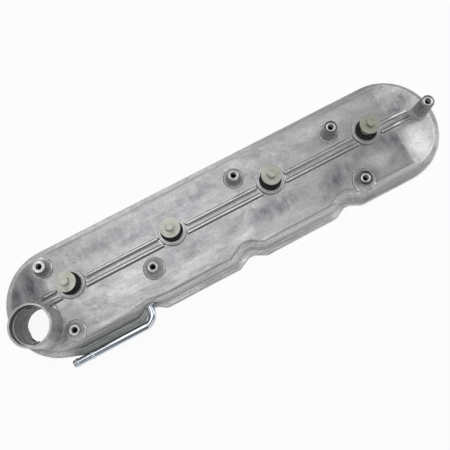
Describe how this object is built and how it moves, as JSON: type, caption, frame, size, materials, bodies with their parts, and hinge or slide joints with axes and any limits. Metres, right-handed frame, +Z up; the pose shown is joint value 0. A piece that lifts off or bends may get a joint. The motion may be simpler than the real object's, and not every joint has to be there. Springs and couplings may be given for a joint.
{
  "type": "engine valve cover",
  "caption": "Long cast aluminium rocker cover with rounded ends, notched front rail, twin ribs, tapped coil bosses, oil filler neck, bent breather tube and captive centre bolts",
  "frame": {"origin": "midway between the two middle bolts, on the gasket's sealing plane", "axes": "+X along the cover from the filler neck towards the end with the tall boss, +Y across it towards the straight back rail, +Z up out of the engine through the bolt heads"},
  "size_m": [0.4917, 0.124, 0.06],
  "materials": {
    "cast_aluminium": "as-cast, blasted, satin with darker and lighter patches",
    "gasket_rubber": "matt moulded rubber",
    "grommet_rubber": "matt black moulded rubber",
    "bolt_steel": "dull pale grey-green plating",
    "tube_steel": "bright zinc plated steel",
    "tray_sheet": "plain rolled sheet",
    "screw_steel": "zinc plated"
  },
  "bodies": {
    "cover": {"cover_casting": "cast_aluminium", "bolt_tower_1": "cast_aluminium", "bolt_tower_2": "cast_aluminium", "bolt_tower_3": "cast_aluminium", "bolt_tower_4": "cast_aluminium", "tray_pillar_1": "cast_aluminium", "tray_pillar_2": "cast_aluminium", "tray_pillar_3": "cast_aluminium", "tray_pillar_4": "cast_aluminium", "tray_pillar_5": "cast_aluminium", "tray_pillar_6": "cast_aluminium", "tray_pillar_7": "cast_aluminium", "tray_pillar_8": "cast_aluminium", "coil_boss_1": "cast_aluminium", "coil_boss_2": "cast_aluminium", "coil_boss_3": "cast_aluminium", "coil_boss_4": "cast_aluminium", "coil_boss_5": "cast_aluminium", "coil_boss_6": "cast_aluminium", "coil_boss_7": "cast_aluminium", "filler_neck": "cast_aluminium", "rail_gasket": "gasket_rubber", "breather_tube": "tube_steel", "baffle_tray": "tray_sheet", "bolt_grommet_1": "grommet_rubber", "bolt_grommet_2": "grommet_rubber", "bolt_grommet_3": "grommet_rubber", "bolt_grommet_4": "grommet_rubber", "baffle_screw_1": "screw_steel", "baffle_screw_2": "screw_steel", "baffle_screw_3": "screw_steel", "baffle_screw_4": "screw_steel", "baffle_screw_5": "screw_steel", "baffle_screw_6": "screw_steel", "baffle_screw_7": "screw_steel", "baffle_screw_8": "screw_steel"},
    "captive_bolt_1": {"bolt_1": "bolt_steel"},
    "captive_bolt_2": {"bolt_2": "bolt_steel"},
    "captive_bolt_3": {"bolt_3": "bolt_steel"},
    "captive_bolt_4": {"bolt_4": "bolt_steel"}
  },
  "joints": [
    {"name": "bolt_1_slide", "type": "slide", "parent": "cover", "child": "captive_bolt_1", "axis": [0, 0, -1], "range_m": [0, 0.0148]},
    {"name": "bolt_2_slide", "type": "slide", "parent": "cover", "child": "captive_bolt_2", "axis": [0, 0, -1], "range_m": [0, 0.0148]},
    {"name": "bolt_3_slide", "type": "slide", "parent": "cover", "child": "captive_bolt_3", "axis": [0, 0, -1], "range_m": [0, 0.0148]},
    {"name": "bolt_4_slide", "type": "slide", "parent": "cover", "child": "captive_bolt_4", "axis": [0, 0, -1], "range_m": [0, 0.0148]}
  ]
}
